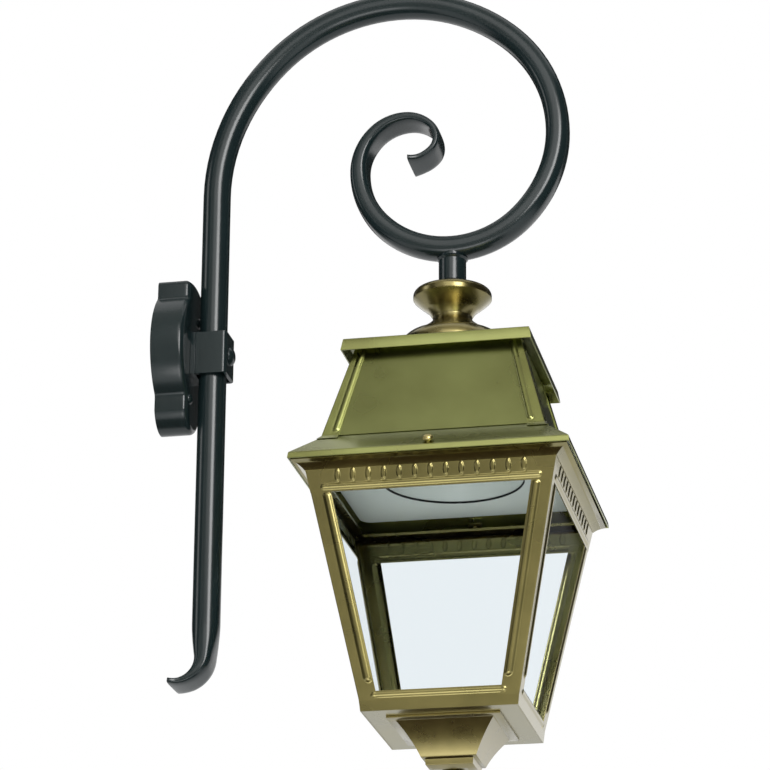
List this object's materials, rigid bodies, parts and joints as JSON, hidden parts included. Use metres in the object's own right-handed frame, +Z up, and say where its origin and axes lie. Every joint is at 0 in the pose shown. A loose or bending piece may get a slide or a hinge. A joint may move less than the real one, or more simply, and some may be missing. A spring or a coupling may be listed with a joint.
{
  "type": "wall lantern sconce",
  "caption": "Square tapered lantern with clear panes, a white reflector and a pointed pendant, hung from a scrolled tube arm clamped to a wall plate.",
  "frame": {"origin": "centre of the wall plate's back face, on the wall", "axes": "+X out of the wall along the arm, +Y away from someone who faces the lantern's front pane from outside with the wall on their left (the front pane faces -Y), +Z up"},
  "size_m": [0.4934, 0.3094, 0.9577],
  "materials": {
    "dark_paint": "very dark green-black paint, satin gloss",
    "brass": "polished antiqued brass under clear lacquer, olive brown with bright edges",
    "bright_brass": "polished brass",
    "zinc_steel": "zinc plated",
    "clear_glass": "clear float glass",
    "white_paint": "gloss white enamel",
    "black_plastic": "moulded, plain",
    "lamp_glass": "frosted glass bulb"
  },
  "bodies": {
    "lantern_on_arm": {"wall_plate": "dark_paint", "clamp_base": "dark_paint", "clamp_strap": "dark_paint", "arm_tube": "dark_paint", "hanger_stem": "dark_paint", "weld_bead": "dark_paint", "clamp_bolt": "dark_paint", "mounting_strap": "zinc_steel", "strap_pillars": "zinc_steel", "clamp_nut": "zinc_steel", "tie_stud": "zinc_steel", "stud_nut": "zinc_steel", "hanger_nipple": "zinc_steel", "nipple_nut": "zinc_steel", "cover_screws": "dark_paint", "crown_lid": "brass", "crown_bowl": "brass", "crown_gallery": "brass", "chimney_cap": "brass", "roof_skirt": "brass", "cage_lug_back": "brass", "cage_lug_front": "brass", "cove": "brass", "frieze": "brass", "bottom_rail": "brass", "tray": "brass", "pendant": "brass", "finial": "brass", "chimney_corner_back_right": "brass", "post_back_right": "brass", "chimney_corner_back_left": "brass", "post_back_left": "brass", "chimney_corner_front_left": "brass", "post_front_left": "brass", "chimney_corner_front_right": "brass", "post_front_right": "brass", "chimney_panel_front": "brass", "glass_front": "clear_glass", "chimney_panel_right": "brass", "glass_right": "clear_glass", "chimney_panel_back": "brass", "glass_back": "clear_glass", "chimney_panel_left": "brass", "glass_left": "clear_glass", "reflector_plate": "white_paint", "reflector_dome": "white_paint", "lampholder": "black_plastic"},
    "front_screw": {"thumb_screw_front": "bright_brass"},
    "back_screw": {"thumb_screw_back": "bright_brass"},
    "bulb": {"lamp": "lamp_glass"}
  },
  "joints": [
    {"name": "front_screw_turn", "type": "hinge", "parent": "lantern_on_arm", "child": "front_screw", "pos_m": [0.3398, -0.147, -0.1701], "axis": [0, -0.6334, 0.7738], "range_deg": [-720, 0]},
    {"name": "back_screw_turn", "type": "hinge", "parent": "lantern_on_arm", "child": "back_screw", "pos_m": [0.3398, 0.147, -0.1701], "axis": [0, 0.6334, 0.7738], "range_deg": [-720, 0]},
    {"name": "lamp_turn", "type": "hinge", "parent": "lantern_on_arm", "child": "bulb", "pos_m": [0.3398, 0, -0.1], "axis": [0, 0, 1], "range_deg": [-1080, 0]}
  ]
}
